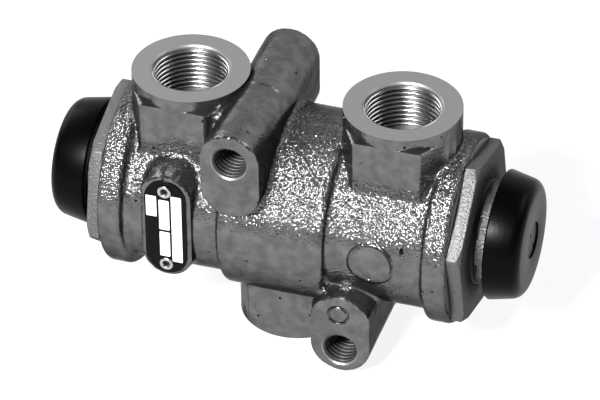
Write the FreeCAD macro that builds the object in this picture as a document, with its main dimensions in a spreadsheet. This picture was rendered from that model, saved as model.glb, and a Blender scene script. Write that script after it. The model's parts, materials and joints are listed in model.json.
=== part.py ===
import FreeCAD, Part
import math
import os
import re

import Sketcher
from FreeCAD import Placement, Rotation, Vector

# Two-circuit valve. The barrel lies along X, the delivery ports point up and the
# supply port points down. The origin is the middle of the supply port's mouth.

# Driving sizes, in millimetres unless the note says degrees
SIZES = (
    ("housing_half", 51.0, "middle of the barrel to each machined end face"),
    ("barrel_radius", 24.4, "cast barrel"),
    ("ring_step", 2.6, "raised ring round the middle, above the barrel"),
    ("ring_half", 15.6, "middle to each edge of the ring"),
    ("collar_step", 2.9, "collar at each end, above the barrel"),
    ("collar_width", 7.0, "length of the collar along the barrel"),
    ("collar_round", 1.5, "outer edge of the collar"),
    ("shoulder_round", 1.2, "rounds of the ring and collar shoulders"),
    ("skin_lap", 0.05, "ring and collars rooted under the barrel's skin"),
    ("port_inset", 20.0, "each end face to the axis of its delivery port"),
    ("port_radius", 16.75, "turned rim of each port"),
    ("block_step", 0.2, "cast flats of a port beyond its turned rim"),
    ("delivery_face", 38.0, "barrel axis up to the delivery faces"),
    ("supply_face", 38.0, "barrel axis down to the supply face"),
    ("delivery_rim", 3.5, "height of the turned rim"),
    ("supply_rim", 4.7, "height of the turned rim"),
    ("port_thread_radius", 11.0, "thread M22x1.5, at its outer radius"),
    ("port_thread_depth", 16.0, "depth of the threaded hole"),
    ("port_mouth", 0.5, "chamfer at a port's mouth"),
    ("delivery_passage_radius", 6.0, "passage from the bore to a delivery port"),
    ("passage_inset", 3.5, "that passage, nearer the middle than its port"),
    ("supply_passage_radius", 7.0, "passage from the supply port to the chamber"),
    ("upper_boss_offset", 10.6, "upper mounting boss, left of the middle"),
    ("upper_boss_radius", 8.6, "round of its section"),
    ("upper_boss_top", 28.8, "centre of its upper round"),
    ("upper_boss_foot", 19.0, "centre of its lower round"),
    ("upper_hole_height", 28.45, "its threaded holes, above the barrel axis"),
    ("lower_boss_offset", 21.2, "lower mounting boss, right of the middle"),
    ("lower_boss_radius", 8.7, "round of its section"),
    ("lower_boss_head", 19.7, "centre of its upper round, below the axis"),
    ("lower_boss_tip", 27.9, "centre of its lower round, below the axis"),
    ("lower_hole_drop", 29.2, "its threaded holes, below the barrel axis"),
    ("boss_half_length", 28.0, "middle to the faces of both bosses"),
    ("mount_thread_radius", 5.0, "thread M10, at its outer radius"),
    ("mount_thread_depth", 16.0, "depth of the threaded holes in the bosses"),
    ("mount_mouth", 0.4, "chamfer at their mouths"),
    ("boss_fillet", 1.2, "fillets round the foot of each mounting boss"),
    ("port_fillet", 1.2, "fillets round the foot of each port"),
    ("pad_inset", 0.7, "plate pad, nearer the middle than the left port"),
    ("pad_height", 1.3, "centre of the plate pad above the axis"),
    ("pad_step", 1.6, "face of the plate pad above the barrel"),
    ("pad_margin", 1.1, "face of the pad beyond the plate"),
    ("pad_depth", 12.0, "length of the pad's drafted walls"),
    ("pad_draft", 9.0, "draft of those walls, degrees"),
    ("plate_width", 12.2, "rating plate"),
    ("plate_length", 31.5, "rating plate, over its round ends"),
    ("plate_thickness", 0.5, "rating plate"),
    ("rivet_spacing", 25.0, "between the two rivets"),
    ("rivet_radius", 1.2, "rivet shank"),
    ("rivet_clearance", 0.05, "round a rivet shank"),
    ("rivet_length", 4.0, "rivet shank below the plate's face"),
    ("rivet_head_radius", 2.0, "rolled head of a rivet"),
    ("rivet_head_height", 0.7, "rolled head of a rivet"),
    ("rivet_hollow", 0.7, "radius of the hollow through a rivet"),
    ("floor_offset", 8.5, "middle to the floor of each piston bore"),
    ("seat_radius", 8.5, "supply chamber and valve seat"),
    ("seat_lip", 1.5, "thickness of the seat's lip"),
    ("seat_height", 1.0, "seat lip above the bore's floor"),
    ("piston_radius", 14.0, "guide of the piston"),
    ("piston_clearance", 0.05, "piston guide in its bore, on the radius"),
    ("guide_length", 6.0, "piston guide"),
    ("piston_room", 4.7, "piston guide to the adjusting screw"),
    ("stem_radius", 5.0, "piston stem"),
    ("head_radius", 11.8, "piston head"),
    ("head_thickness", 2.0, "piston head behind the disc"),
    ("head_cone", 4.0, "slope from the head to the stem"),
    ("disc_radius", 10.5, "rubber valve disc"),
    ("disc_thickness", 2.5, "rubber valve disc"),
    ("disc_gap", 0.05, "closed disc above the seat"),
    ("disc_cup", 1.8, "depth of the cup that holds the disc"),
    ("disc_fit", 0.05, "disc in its cup, on the radius"),
    ("washer_radius", 6.0, "washer that holds the disc"),
    ("washer_thickness", 1.0, "washer that holds the disc"),
    ("screw_radius", 2.5, "screw that holds the disc"),
    ("screw_length", 12.0, "screw below its head"),
    ("screw_head_radius", 4.25, "head of that screw"),
    ("screw_head_height", 2.8, "head of that screw"),
    ("screw_clearance", 0.05, "round that screw"),
    ("cord_radius", 1.0, "section of the piston's sealing ring"),
    ("cord_clearance", 0.05, "sealing ring above the bottom of its groove"),
    ("groove_side", 0.3, "sealing ring to each side of its groove"),
    ("wire_radius", 1.25, "wire of the pressure spring"),
    ("coil_radius", 9.3, "pressure spring, to the middle of its wire"),
    ("active_turns", 3.5, "open turns of the pressure spring"),
    ("closed_pitch", 2.6, "rise of each closed end turn"),
    ("coil_clearance", 0.35, "round the spring and inside it"),
    ("pocket_depth", 2.0, "spring pocket in the piston"),
    ("spigot_length", 2.5, "spigot of the spring seat"),
    ("seat_flange", 2.5, "thickness of the spring seat"),
    ("seat_play", 0.05, "spring seat off the adjusting screw"),
    ("thread_radius", 15.0, "adjusting screw, thread M30x1.5"),
    ("thread_clearance", 0.05, "adjusting screw in its thread, on the radius"),
    ("screw_reach", 5.8, "adjusting screw inside the housing's end face"),
    ("thread_room", 2.0, "housing thread beyond the screw's inner end"),
    ("thread_mouth", 0.6, "chamfers of the adjusting thread"),
    ("undercut_length", 0.9, "groove between the screw's thread and hexagon"),
    ("undercut_depth", 0.9, "depth of that groove"),
    ("screw_wall", 3.7, "wall of the adjusting screw under its thread"),
    ("hexagon_gap", 1.8, "lock nut to the hexagon of the adjusting screw"),
    ("hexagon_length", 9.4, "hexagon of the adjusting screw"),
    ("hexagon_flats", 27.0, "hexagon of the adjusting screw, across flats"),
    ("hexagon_chamfer", 0.8, "corners of that hexagon"),
    ("end_wall", 2.0, "closed outer end of the adjusting screw"),
    ("vent_radius", 2.0, "vent through that end"),
    ("nut_flats", 46.0, "lock nut, across flats"),
    ("nut_thickness", 4.0, "lock nut"),
    ("nut_chamfer", 1.1, "height of the chamfer on the nut's corners"),
    ("right_nut_turn", 44.5, "corner of the right nut from the back, degrees"),
    ("left_nut_turn", 42.2, "corner of the left nut, seen from its own end, degrees"),
    ("screw_turn", 20.5, "corner of each screw's hexagon, degrees"),
    ("cap_turn", 30.0, "vents of each cap from the upright, degrees"),
    ("cap_lip_gap", 2.5, "inner face of the hexagon to the open edge of the cap"),
    ("cap_wall", 2.8, "end of the cap"),
    ("cap_lip_radius", 18.6, "open edge of the cap"),
    ("cap_crown_radius", 17.3, "cap where its end begins to round"),
    ("cap_crown", 3.4, "length of the rounded end"),
    ("cap_face_radius", 13.6, "flat end of the cap"),
    ("cap_fit", 0.06, "cap over the hexagon's corners"),
    ("cap_gap", 0.2, "cap's floor above the screw's end"),
    ("recess_radius", 5.3, "recess in the end of the cap"),
    ("recess_depth", 0.5, "recess in the end of the cap"),
    ("cap_vent_radius", 0.65, "vents in that recess"),
    ("cap_vent_offset", 4.3, "middle of the cap to each vent"),
)

PLAIN_FUNCTIONS = {"sqrt", "min"}
TURN_BACK = Rotation(Vector(0, 0, 1), 180)
STRAIGHT = Rotation()
# Two walls make a corner where they turn by more than this, and a short step tells its side
SHARP = math.radians(20)
PROBE = 0.02
# The most of a step's height that each of its two rounds may take
ROUND_SHARE = 0.48

doc = FreeCAD.newDocument("two_circuit_valve")
sheet = doc.addObject("Spreadsheet::Sheet", "Sizes")
for row, (word, value, note) in enumerate(SIZES, start=1):
    sheet.set(f"A{row}", word)
    sheet.set(f"B{row}", str(value))
    sheet.set(f"C{row}", note)
    sheet.setAlias(f"B{row}", word)
reading = doc.addObject("Spreadsheet::Sheet", "Reading")
doc.recompute()


def bound(text):
    """An expression that reads the sheet, from one in the sizes' plain words."""
    def cell(match):
        word = match.group(0)
        return word if word in PLAIN_FUNCTIONS else f"Sizes.{word}"
    return re.sub(r"[a-z][a-z_]*", cell, text)


def size(text):
    """The number that an expression in the sizes' plain words comes to."""
    reading.set("A1", f"={bound(text)}")
    reading.recompute()
    return float(reading.get("A1"))


def new_body(name, rotation=STRAIGHT):
    """A body whose X axis is the barrel's, at its height above the supply face."""
    body = doc.addObject("PartDesign::Body", name)
    body.Label = name
    body.Placement = Placement(Vector(0, 0, 0), rotation)
    body.setExpression("Placement.Base.z", bound("supply_face"))
    return body


def plane_of(body, role):
    """One of a body's own three planes."""
    return next(item for item in body.Origin.OriginFeatures if item.Role == role)


def new_sketch(body, name, role, lift="0", across="0", up="0"):
    """A sketch parallel to one of the body's own planes, with an origin of its own."""
    sketch = body.newObject("Sketcher::SketchObject", name)
    sketch.AttachmentSupport = [(plane_of(body, role), "")]
    sketch.MapMode = "FlatFace"
    for axis, text in zip("xyz", (across, up, lift)):
        sketch.setExpression(f"AttachmentOffset.Base.{axis}", bound(text))
    return sketch


def at(place):
    """The point of a sketch that two expressions name."""
    return Vector(size(place[0]), size(place[1]), 0)


def pin_point(sketch, geometry, end, place):
    """Hold a point at a place: a size to the plus side, or minus a size."""
    axes = (("DistanceX", -2), ("DistanceY", -1))
    for (kind, axis), text in zip(axes, place):
        if text == "0":
            sketch.addConstraint(Sketcher.Constraint("PointOnObject", geometry, end, axis))
            continue
        points = (-1, 1, geometry, end)
        if text.startswith("-"):
            points = (geometry, end, -1, 1)
        index = sketch.addConstraint(Sketcher.Constraint(kind, *points, abs(size(text))))
        sketch.setExpression(f"Constraints[{index}]", bound(text.lstrip("-")))


def draw_polygon(sketch, places):
    """A closed outline of straight lines with each corner held by its sizes."""
    corners = [at(place) for place in places]
    first = sketch.GeometryCount
    count = len(corners)
    for step in range(count):
        line = Part.LineSegment(corners[step], corners[(step + 1) % count])
        sketch.addGeometry(line, False)
    for step in range(count):
        following = first + (step + 1) % count
        sketch.addConstraint(Sketcher.Constraint("Coincident", first + step, 2, following, 1))
    for step, place in enumerate(places):
        pin_point(sketch, first + step, 1, place)


def draw_circle(sketch, across, up, radius):
    """A circle held by its centre and radius."""
    circle = Part.Circle(at((across, up)), Vector(0, 0, 1), size(radius))
    index = sketch.addGeometry(circle, False)
    pin_point(sketch, index, 3, (across, up))
    limit = sketch.addConstraint(Sketcher.Constraint("Radius", index, size(radius)))
    sketch.setExpression(f"Constraints[{limit}]", bound(radius))


def draw_obround(sketch, half, radius):
    """Two half circles about the sketch's origin, joined by upright lines."""
    words = [(radius, half), (f"-({radius})", half),
             (f"-({radius})", f"-({half})"), (radius, f"-({half})")]
    corners = [at(place) for place in words]
    crown = at(("0", f"({half}) + ({radius})"))
    sketch.addGeometry(Part.Arc(corners[0], crown, corners[1]), False)
    sketch.addGeometry(Part.LineSegment(corners[1], corners[2]), False)
    sketch.addGeometry(Part.Arc(corners[2], -crown, corners[3]), False)
    sketch.addGeometry(Part.LineSegment(corners[3], corners[0]), False)
    for step, place in enumerate(words):
        sketch.addConstraint(Sketcher.Constraint("Coincident", step, 2, (step + 1) % 4, 1))
        pin_point(sketch, step, 1, place)
    for step, ends in ((0, (-1, 1, 0, 3)), (2, (2, 3, -1, 1))):
        limit = sketch.addConstraint(Sketcher.Constraint("DistanceY", *ends, size(half)))
        sketch.setExpression(f"Constraints[{limit}]", bound(half))


def add_feature(body, kind, name, sketch, **values):
    """A feature made from a sketch: text values are bound, others are set."""
    feature = body.newObject(f"PartDesign::{kind}", name)
    feature.Profile = sketch
    for word, value in values.items():
        if isinstance(value, str) and word in ("Length", "Depth", "Diameter", "TaperAngle"):
            feature.setExpression(word, bound(value))
        else:
            setattr(feature, word, value)
    body.Tip = feature
    return feature


def revolve(body, name, places, cut=False):
    """Turn an outline of (along the axis, radius) places about the X axis."""
    sketch = new_sketch(body, f"{name}_outline", "XY_Plane")
    draw_polygon(sketch, places)
    kind = "Groove" if cut else "Revolution"
    feature = add_feature(body, kind, name, sketch, Angle=360)
    feature.ReferenceAxis = (sketch, ["H_Axis"])
    return feature


def circle_edges(shape, radius, offset):
    """Names of the full circles about X with that radius, either side of the middle."""
    names = []
    for index, edge in enumerate(shape.Edges, start=1):
        if not isinstance(edge.Curve, Part.Circle):
            continue
        same_radius = abs(edge.Curve.Radius - radius) < 1e-4
        same_place = abs(abs(edge.Curve.Center.x) - offset) < 1e-4
        if same_radius and same_place:
            names.append(f"Edge{index}")
    return names


def inner_corners(shape):
    """Names of the edges where two walls of a shape meet in an inner corner."""
    names = []
    for index, edge in enumerate(shape.Edges, start=1):
        walls = shape.ancestorsOfType(edge, Part.Face)
        if len(walls) != 2:
            continue
        middle = (edge.FirstParameter + edge.LastParameter) / 2
        point = edge.valueAt(middle)
        out, other = [wall.normalAt(*wall.Surface.parameter(point)) for wall in walls]
        if out.getAngle(other) < SHARP:
            continue
        along_wall = out.cross(edge.tangentAt(middle))
        if not walls[0].isInside(point + along_wall * PROBE, PROBE / 2, True):
            along_wall = -along_wall
        if along_wall.dot(other) > 0:
            names.append(f"Edge{index}")
    return names


def round_edges(body, name, base, names, radius):
    """Fillet the named edges of the last feature."""
    fillet = body.newObject("PartDesign::Fillet", name)
    fillet.Base = (base, names)
    fillet.setExpression("Radius", bound(radius))
    body.Tip = fillet
    return fillet


def blend(body, feature, radius):
    """Fillet the inner corners that a feature makes with the shape under it."""
    doc.recompute()
    round_edges(body, f"{feature.Name}_fillets", feature, inner_corners(feature.Shape), radius)


def both_ways(places):
    """The same places mirrored across the middle, in one closed outline."""
    return places + [(f"-({across})", up) for across, up in reversed(places)]


# Places that follow from the sizes
COLLAR_START = "housing_half - collar_width"
PORT_OFFSET = "(housing_half - port_inset)"
PASSAGE_OFFSET = f"({PORT_OFFSET} - passage_inset)"
PAD_OFFSET = f"({PORT_OFFSET} - pad_inset)"
PAD_FACE = "barrel_radius + pad_step"
SCREW_START = "(housing_half - screw_reach)"
NUT_FACE = "housing_half + nut_thickness"
HEXAGON_START = f"({NUT_FACE} + hexagon_gap)"
HEXAGON_END = f"{HEXAGON_START} + hexagon_length"
GUIDE_END = f"{SCREW_START} - piston_room"
BARREL = both_ways([("housing_half", "barrel_radius"), ("housing_half", "0")])

# Ring and collars of the casting, turned as a sleeve and rounded before they join it
RING = "barrel_radius + ring_step"
COLLAR = "barrel_radius + collar_step"
ROOT = "barrel_radius - skin_lap"
sleeve = doc.addObject("PartDesign::Body", "ring_and_collars")
rings = revolve(sleeve, "rings", both_ways([
    ("ring_half", RING),
    ("ring_half", ROOT),
    (COLLAR_START, ROOT),
    (COLLAR_START, COLLAR),
    ("housing_half", COLLAR),
    ("housing_half", "0"),
]))
doc.recompute()
collar_edges = circle_edges(rings.Shape, size(COLLAR), size("housing_half"))
collar_rounds = round_edges(sleeve, "collar_rounds", rings, collar_edges, "collar_round")
doc.recompute()
shoulder_edges = []
for radius, offset in ((RING, "ring_half"), (ROOT, "ring_half"),
                       (COLLAR, COLLAR_START), (ROOT, COLLAR_START)):
    shoulder_edges += circle_edges(collar_rounds.Shape, size(radius), size(offset))
round_edges(sleeve, "shoulder_rounds", collar_rounds, shoulder_edges,
            f"min(shoulder_round; {ROUND_SHARE} * min(ring_step; collar_step))")

# Mounting bosses from front to back, filleted on a barrel of their own before they join
bosses = doc.addObject("PartDesign::Body", "mounting_bosses")
revolve(bosses, "boss_barrel", BARREL)
BOSSES = (
    ("upper", "-upper_boss_offset", "upper_boss_foot", "upper_boss_top"),
    ("lower", "lower_boss_offset", "-lower_boss_tip", "-lower_boss_head"),
)
for boss, centre, low, high in BOSSES:
    section = new_sketch(bosses, f"{boss}_boss_outline", "XZ_Plane",
                         across=centre, up=f"(({low}) + ({high})) / 2")
    draw_obround(section, f"(({high}) - ({low})) / 2", f"{boss}_boss_radius")
    boss_pad = add_feature(bosses, "Pad", f"{boss}_boss", section, Length="2 * boss_half_length",
                           Midplane=True)
    blend(bosses, boss_pad, "boss_fillet")

# Housing: one casting with its turned faces, bores and threaded holes
housing = new_body("housing")
revolve(housing, "barrel", BARREL)

PORTS = (
    ("left_delivery", f"-{PORT_OFFSET}", "delivery_face", "delivery_rim", False),
    ("right_delivery", PORT_OFFSET, "delivery_face", "delivery_rim", False),
    ("supply", "0", "supply_face", "supply_rim", True),
)


def draw_port_block(sketch):
    """A hexagon about the sketch's origin with its two side corners rounded away."""
    flat = "(port_radius + block_step)"
    corner = (f"{flat} / sqrt(3)", flat)
    meeting = (f"{flat} * sqrt(3) / 2", f"{flat} / 2")
    upper = [meeting, corner, (f"-({corner[0]})", corner[1]), (f"-({meeting[0]})", meeting[1])]
    places = upper + [(across, f"-({up})") for across, up in reversed(upper)]
    for step, place in enumerate(places):
        begin, finish = at(place), at(places[(step + 1) % 8])
        if step in (3, 7):
            bulge = Vector(math.copysign(size(flat), begin.x), 0, 0)
            sketch.addGeometry(Part.Arc(begin, bulge, finish), False)
        else:
            sketch.addGeometry(Part.LineSegment(begin, finish), False)
    for step, place in enumerate(places):
        sketch.addConstraint(Sketcher.Constraint("Coincident", step, 2, (step + 1) % 8, 1))
        pin_point(sketch, step, 1, place)
    for step in (3, 7):
        limit = sketch.addConstraint(Sketcher.Constraint("Radius", step, size(flat)))
        sketch.setExpression(f"Constraints[{limit}]", bound(flat))


for port, centre, face, rim, downward in PORTS:
    outline = new_sketch(housing, f"{port}_block_outline", "XY_Plane", across=centre)
    draw_port_block(outline)
    block = add_feature(housing, "Pad", f"{port}_block", outline, Length=f"{face} - {rim}",
                        Reversed=downward)
    blend(housing, block, "port_fillet")
casting = housing.newObject("PartDesign::Boolean", "casting")
casting.Type = "Fuse"
casting.addObjects([bosses, sleeve])
housing.Tip = casting
for port, centre, face, _, downward in PORTS:
    turned = new_sketch(housing, f"{port}_rim_outline", "XY_Plane", across=centre)
    draw_circle(turned, "0", "0", "port_radius")
    add_feature(housing, "Pad", f"{port}_rim", turned, Length=face, Reversed=downward)

plate_centre = {"across": f"-{PAD_OFFSET}", "up": "pad_height"}
pad_outline = new_sketch(housing, "plate_pad_outline", "XZ_Plane", lift=PAD_FACE, **plate_centre)
draw_obround(pad_outline, "(plate_length - plate_width) / 2", "plate_width / 2 + pad_margin")
plate_pad = add_feature(housing, "Pad", "plate_pad", pad_outline, Length="pad_depth", Reversed=True)
plate_pad.setExpression("TaperAngle", bound("-pad_draft"))

# Bores of the housing, turned from both ends about the barrel's axis
THREAD_BORE = "thread_radius + thread_clearance"
PISTON_BORE = "piston_radius + piston_clearance"
revolve(housing, "bores", both_ways([
    ("floor_offset + seat_height", "seat_radius"),
    ("floor_offset + seat_height", "seat_radius + seat_lip"),
    ("floor_offset", "seat_radius + seat_lip"),
    ("floor_offset", PISTON_BORE),
    (f"{SCREW_START} - thread_room", PISTON_BORE),
    (f"{SCREW_START} - thread_room", THREAD_BORE),
    ("housing_half - thread_mouth", THREAD_BORE),
    ("housing_half", f"{THREAD_BORE} + thread_mouth"),
    ("housing_half", "0"),
]), cut=True)


def drill(name, role, lift, places, radius, depth, mouth, pointed=False):
    """Round holes with a chamfered mouth, sunk from a face of the housing."""
    sketch = new_sketch(housing, f"{name}_centres", role, lift=lift)
    for across, up in places:
        draw_circle(sketch, across, up, radius)
    doc.recompute()
    hole = add_feature(housing, "Hole", name, sketch)
    hole.Threaded = False
    hole.ModelThread = False
    hole.DepthType = "Dimension"
    hole.DrillPoint = "Angled" if pointed else "Flat"
    hole.HoleCutType = "Countersink"
    hole.HoleCutCustomValues = True
    hole.HoleCutCountersinkAngle = 90
    hole.setExpression("Diameter", bound(f"2 * {radius}"))
    hole.setExpression("Depth", bound(depth))
    hole.setExpression("HoleCutDiameter", bound(f"2 * ({radius} + {mouth})"))
    doc.recompute()
    return hole


boss_holes = (("-upper_boss_offset", "upper_hole_height"), ("lower_boss_offset", "-lower_hole_drop"))
front_holes = drill("front_mount_holes", "XZ_Plane", "boss_half_length", boss_holes,
                    "mount_thread_radius", "mount_thread_depth", "mount_mouth", pointed=True)
back_holes = housing.newObject("PartDesign::Mirrored", "back_mount_holes")
back_holes.Originals = [front_holes]
back_holes.MirrorPlane = (plane_of(housing, "XZ_Plane"), [""])
housing.Tip = back_holes
drill("delivery_holes", "XY_Plane", "delivery_face", ((f"-{PORT_OFFSET}", "0"), (PORT_OFFSET, "0")),
      "port_thread_radius", "port_thread_depth", "port_mouth")
supply_hole = drill("supply_hole", "XY_Plane", "-supply_face", (("0", "0"),),
                    "port_thread_radius", "port_thread_depth", "port_mouth")
supply_hole.Reversed = True

PASSAGES = (
    ("delivery_passages", (f"-{PASSAGE_OFFSET}", PASSAGE_OFFSET),
     "delivery_passage_radius", "delivery_face - port_thread_depth", True),
    ("supply_passage", ("0",), "supply_passage_radius", "supply_face - port_thread_depth", False),
)
for passage, centres, radius, length, upward in PASSAGES:
    outline = new_sketch(housing, f"{passage}_outline", "XY_Plane")
    for centre in centres:
        draw_circle(outline, centre, "0", radius)
    add_feature(housing, "Pocket", passage, outline, Length=length, Reversed=upward)

rivet_holes = new_sketch(housing, "rivet_hole_centres", "XZ_Plane", lift=PAD_FACE, **plate_centre)
for up in ("rivet_spacing / 2", "-(rivet_spacing / 2)"):
    draw_circle(rivet_holes, "0", up, "rivet_radius + rivet_clearance")
add_feature(housing, "Pocket", "rivet_holes", rivet_holes, Length="rivet_length + rivet_clearance")

# Rating plate: a flat stadium with a hole for each rivet
plate = new_body("rating_plate")
plate_outline = new_sketch(plate, "plate_outline", "XZ_Plane", lift=PAD_FACE, **plate_centre)
draw_obround(plate_outline, "(plate_length - plate_width) / 2", "plate_width / 2")
add_feature(plate, "Pad", "plate_sheet", plate_outline, Length="plate_thickness")
plate_holes = new_sketch(plate, "plate_hole_centres", "XZ_Plane",
                         lift=f"{PAD_FACE} + plate_thickness", **plate_centre)
for up in ("rivet_spacing / 2", "-(rivet_spacing / 2)"):
    draw_circle(plate_holes, "0", up, "rivet_radius + rivet_clearance")
add_feature(plate, "Pocket", "plate_holes", plate_holes, Length="plate_thickness")


def bind_all(item, **expressions):
    """Bind several properties of one object to the sheet."""
    for word, text in expressions.items():
        item.setExpression(word.replace("__", "."), bound(text))


def part_cylinder(name, radius, height, lift):
    """A cylinder whose axis points to the front, its foot that far from the back."""
    item = doc.addObject("Part::Cylinder", name)
    item.Placement = Placement(Vector(0, 0, 0), Rotation(Vector(1, 0, 0), 90))
    bind_all(item, Radius=radius, Height=height, Placement__Base__y=f"-({lift})")
    return item


# Plate rivets: two hollow rivets in one node, each a shank with a rolled head
PLATE_FRONT = f"{PAD_FACE} + plate_thickness"
SHANK_FOOT = f"{PAD_FACE} - rivet_length"
shank = part_cylinder("rivet_shank", "rivet_radius", "rivet_length + plate_thickness",
                      SHANK_FOOT)
head = part_cylinder("rivet_head", "rivet_head_radius", "rivet_head_height", PLATE_FRONT)
hollow = part_cylinder("rivet_hollow_core", "rivet_hollow",
                       "rivet_length + plate_thickness + rivet_head_height", SHANK_FOOT)
solid_rivet = doc.addObject("Part::MultiFuse", "solid_rivet")
solid_rivet.Shapes = [shank, head]
rivet = doc.addObject("Part::Cut", "one_rivet")
rivet.Base = solid_rivet
rivet.Tool = hollow
doc.recompute()
rivets = doc.addObject("Part::Feature", "plate_rivets")
rivets.Label = "plate_rivets"
upper_rivet = rivet.Shape.copy()
upper_rivet.translate(Vector(0, 0, size("rivet_spacing") / 2))
lower_rivet = rivet.Shape.copy()
lower_rivet.translate(Vector(0, 0, -size("rivet_spacing") / 2))
rivets.Shape = Part.makeCompound([upper_rivet, lower_rivet])
bind_all(rivets, Placement__Base__x=f"-{PAD_OFFSET}",
         Placement__Base__z="supply_face + pad_height")

SIDES = (("left", TURN_BACK), ("right", STRAIGHT))
SEAT = "floor_offset + seat_height"
DISC_FACE = f"{SEAT} + disc_gap"
DISC_BACK = f"{DISC_FACE} + disc_thickness"
HEAD_BACK = f"{DISC_BACK} + head_thickness"
GUIDE_START = f"{GUIDE_END} - guide_length"
GUIDE_MIDDLE = f"{GUIDE_END} - guide_length / 2"
POCKET_FLOOR = f"{GUIDE_END} - pocket_depth"
GROOVE_FLOOR = "piston_radius - 2 * cord_radius - cord_clearance"
COIL_OUTSIDE = "coil_radius + wire_radius"
WALL_INSIDE = f"{HEXAGON_END} - end_wall"
SEAT_OUTSIDE = f"{WALL_INSIDE} - seat_play"
SEAT_INSIDE = f"{SEAT_OUTSIDE} - seat_flange"
SCREW_BORE = "thread_radius - screw_wall"


def turned_piece(name, rotation, places):
    """A body turned about the X axis from one outline."""
    body = new_body(name, rotation)
    revolve(body, f"{name}_turning", places)
    return body


def draw_hexagon(sketch, flats):
    """A hexagon about the sketch's origin with two corners level with it."""
    side = (f"({flats}) / sqrt(12)", f"({flats}) / 2")
    tip = f"({flats}) / sqrt(3)"
    draw_polygon(sketch, [
        (tip, "0"), side, (f"-({side[0]})", side[1]),
        (f"-({tip})", "0"), (f"-({side[0]})", f"-({side[1]})"), (side[0], f"-({side[1]})"),
    ])


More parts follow.
